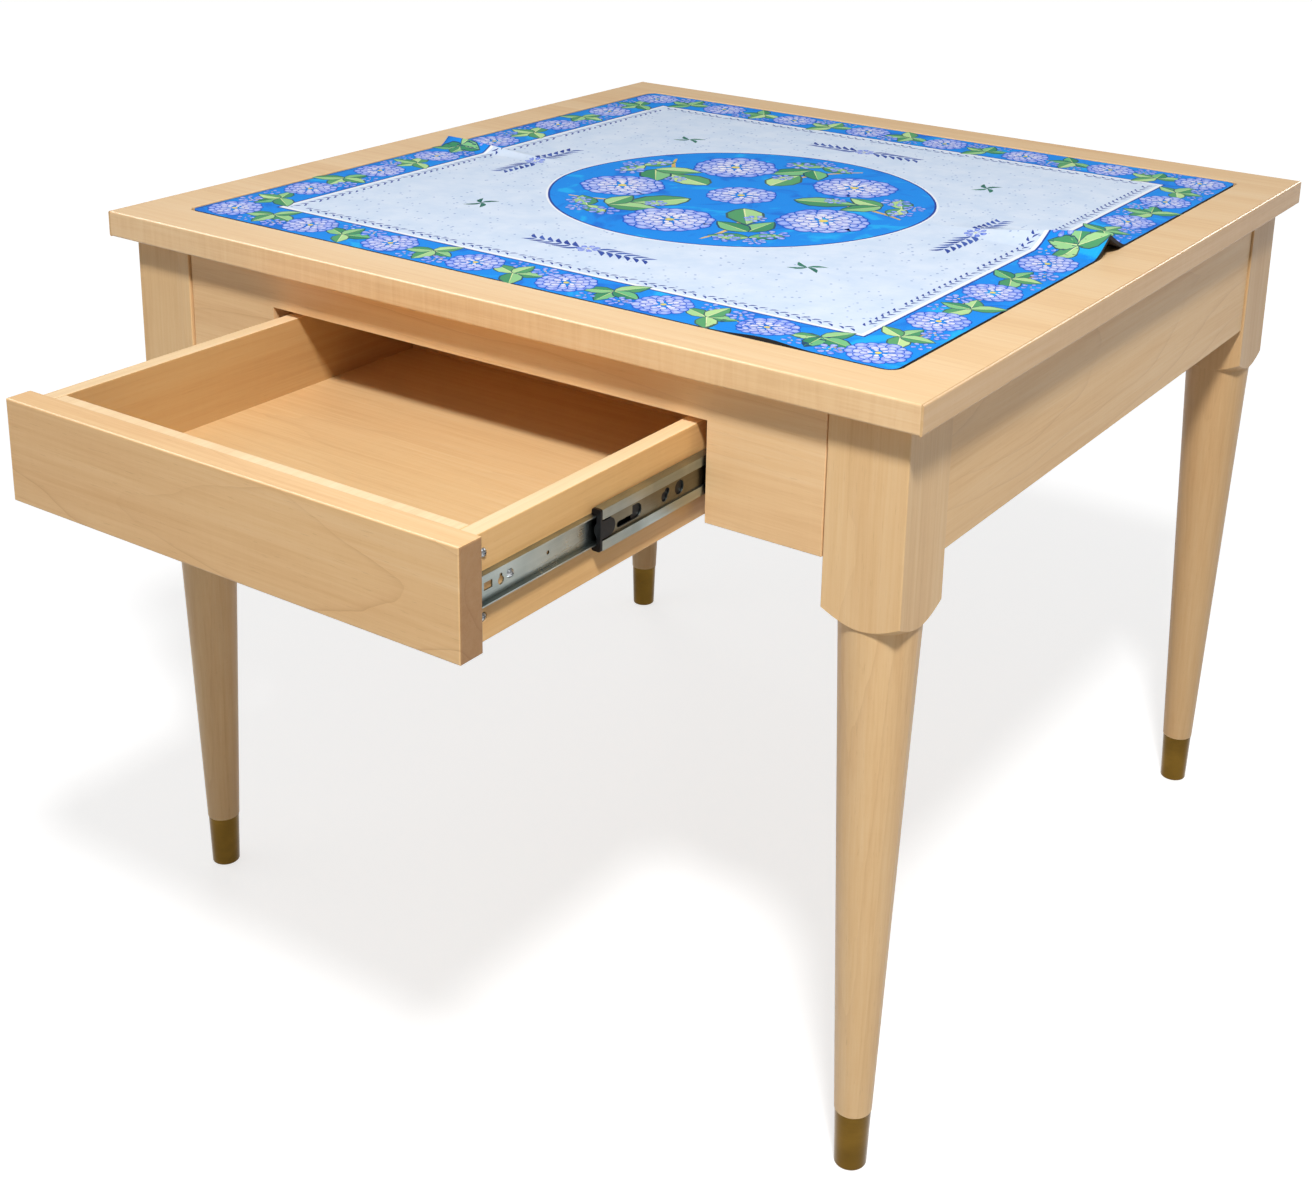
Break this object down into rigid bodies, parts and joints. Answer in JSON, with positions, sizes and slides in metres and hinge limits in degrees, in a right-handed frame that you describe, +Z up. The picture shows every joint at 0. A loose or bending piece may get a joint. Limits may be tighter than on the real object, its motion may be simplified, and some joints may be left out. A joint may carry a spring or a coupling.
{
  "type": "mahjong table",
  "caption": "Square maple game table with a recessed printed playing mat, turned legs with brass ferrules and a drawer on ball slides",
  "frame": {"origin": "on the floor, midway between the four feet", "axes": "+X to the right along the drawer front, +Y from the drawer front to the back, +Z up"},
  "size_m": [0.927, 1.216, 0.762],
  "materials": {
    "top_wood": "maple veneer under a clear satin lacquer, straight fine grain",
    "band_wood": "maple edge band under a clear satin lacquer, fine curly figure",
    "frame_wood": "maple under a clear satin lacquer, fine straight grain",
    "front_wood": "plain-sawn maple under a clear satin lacquer, arched grain",
    "box_wood": "pale yellowish maple under a thin satin lacquer",
    "mat_fabric": "printed knit cloth on a black foam rubber base, matt",
    "brass": "satin antique brass",
    "zinc_steel": "bright zinc-plated rolled steel",
    "fixing_steel": "zinc-plated steel",
    "dark_plastic": "moulded plastic, satin"
  },
  "bodies": {
    "table": {"tabletop": "top_wood", "front_edge_band": "band_wood", "back_edge_band": "band_wood", "left_edge_band": "band_wood", "right_edge_band": "band_wood", "front_apron": "frame_wood", "back_apron": "frame_wood", "left_apron": "frame_wood", "right_apron": "frame_wood", "front_left_leg": "frame_wood", "front_right_leg": "frame_wood", "back_left_leg": "frame_wood", "back_right_leg": "frame_wood", "front_left_ferrule": "brass", "front_right_ferrule": "brass", "back_left_ferrule": "brass", "back_right_ferrule": "brass", "corner_plates": "fixing_steel", "hanger_bolts": "fixing_steel", "hanger_washers": "fixing_steel", "hanger_nuts": "fixing_steel", "corner_plate_screws": "fixing_steel", "angle_brackets": "fixing_steel", "angle_bracket_screws": "fixing_steel", "left_slide_rail": "box_wood", "right_slide_rail": "box_wood", "left_slide_outer": "zinc_steel", "right_slide_outer": "zinc_steel", "slide_rail_screws": "fixing_steel"},
    "mat": {"playing_mat": "mat_fabric"},
    "drawer": {"drawer_front": "front_wood", "box_front": "box_wood", "box_back": "box_wood", "left_box_side": "box_wood", "right_box_side": "box_wood", "box_bottom": "box_wood", "left_slide_inner": "zinc_steel", "right_slide_inner": "zinc_steel", "slide_drawer_screws": "fixing_steel", "lever_rivets": "zinc_steel", "box_corner_screws": "fixing_steel", "drawer_front_screws": "fixing_steel"},
    "slide_middle_left": {"left_slide_middle": "zinc_steel", "left_slide_bumper": "dark_plastic"},
    "outer_cage_left": {"left_outer_cage": "zinc_steel", "left_outer_balls": "zinc_steel"},
    "inner_cage_left": {"left_inner_cage": "dark_plastic", "left_inner_balls": "zinc_steel"},
    "lever_left": {"left_release_lever": "dark_plastic"},
    "slide_middle_right": {"right_slide_middle": "zinc_steel", "right_slide_bumper": "dark_plastic"},
    "outer_cage_right": {"right_outer_cage": "zinc_steel", "right_outer_balls": "zinc_steel"},
    "inner_cage_right": {"right_inner_cage": "dark_plastic", "right_inner_balls": "zinc_steel"},
    "lever_right": {"right_release_lever": "dark_plastic"}
  },
  "joints": [
    {"name": "drawer_slide", "type": "slide", "parent": "table", "child": "drawer", "axis": [0, -1, 0], "range_m": [-0.31, 0.14]},
    {"name": "mat_lift", "type": "slide", "parent": "table", "child": "mat", "axis": [0, 0, 1], "range_m": [0, 0.3]},
    {"name": "slide_middle_left_slide", "type": "slide", "parent": "table", "child": "slide_middle_left", "axis": [0, -1, 0], "range_m": [-0.1706, 0.0771]},
    {"name": "outer_cage_left_slide", "type": "slide", "parent": "table", "child": "outer_cage_left", "axis": [0, -1, 0], "range_m": [-0.08535, 0.0386]},
    {"name": "inner_cage_left_slide", "type": "slide", "parent": "table", "child": "inner_cage_left", "axis": [0, -1, 0], "range_m": [-0.24035, 0.1086]},
    {"name": "lever_left_press", "type": "hinge", "parent": "drawer", "child": "lever_left", "pos_m": [-0.2443, -0.426, 0.645], "axis": [1, 0, 0], "range_deg": [0, 4], "stiffness_Nm_per_rad": 0.3},
    {"name": "slide_middle_right_slide", "type": "slide", "parent": "table", "child": "slide_middle_right", "axis": [0, -1, 0], "range_m": [-0.1706, 0.0771]},
    {"name": "outer_cage_right_slide", "type": "slide", "parent": "table", "child": "outer_cage_right", "axis": [0, -1, 0], "range_m": [-0.08535, 0.0386]},
    {"name": "inner_cage_right_slide", "type": "slide", "parent": "table", "child": "inner_cage_right", "axis": [0, -1, 0], "range_m": [-0.24035, 0.1086]},
    {"name": "lever_right_press", "type": "hinge", "parent": "drawer", "child": "lever_right", "pos_m": [0.2443, -0.426, 0.645], "axis": [1, 0, 0], "range_deg": [0, 4], "stiffness_Nm_per_rad": 0.3}
  ],
  "couplings": [
    {"joint": "slide_middle_left_slide", "follows": "drawer_slide", "ratio": 0.55},
    {"joint": "outer_cage_left_slide", "follows": "drawer_slide", "ratio": 0.275},
    {"joint": "inner_cage_left_slide", "follows": "drawer_slide", "ratio": 0.775},
    {"joint": "slide_middle_right_slide", "follows": "drawer_slide", "ratio": 0.55},
    {"joint": "outer_cage_right_slide", "follows": "drawer_slide", "ratio": 0.275},
    {"joint": "inner_cage_right_slide", "follows": "drawer_slide", "ratio": 0.775}
  ]
}
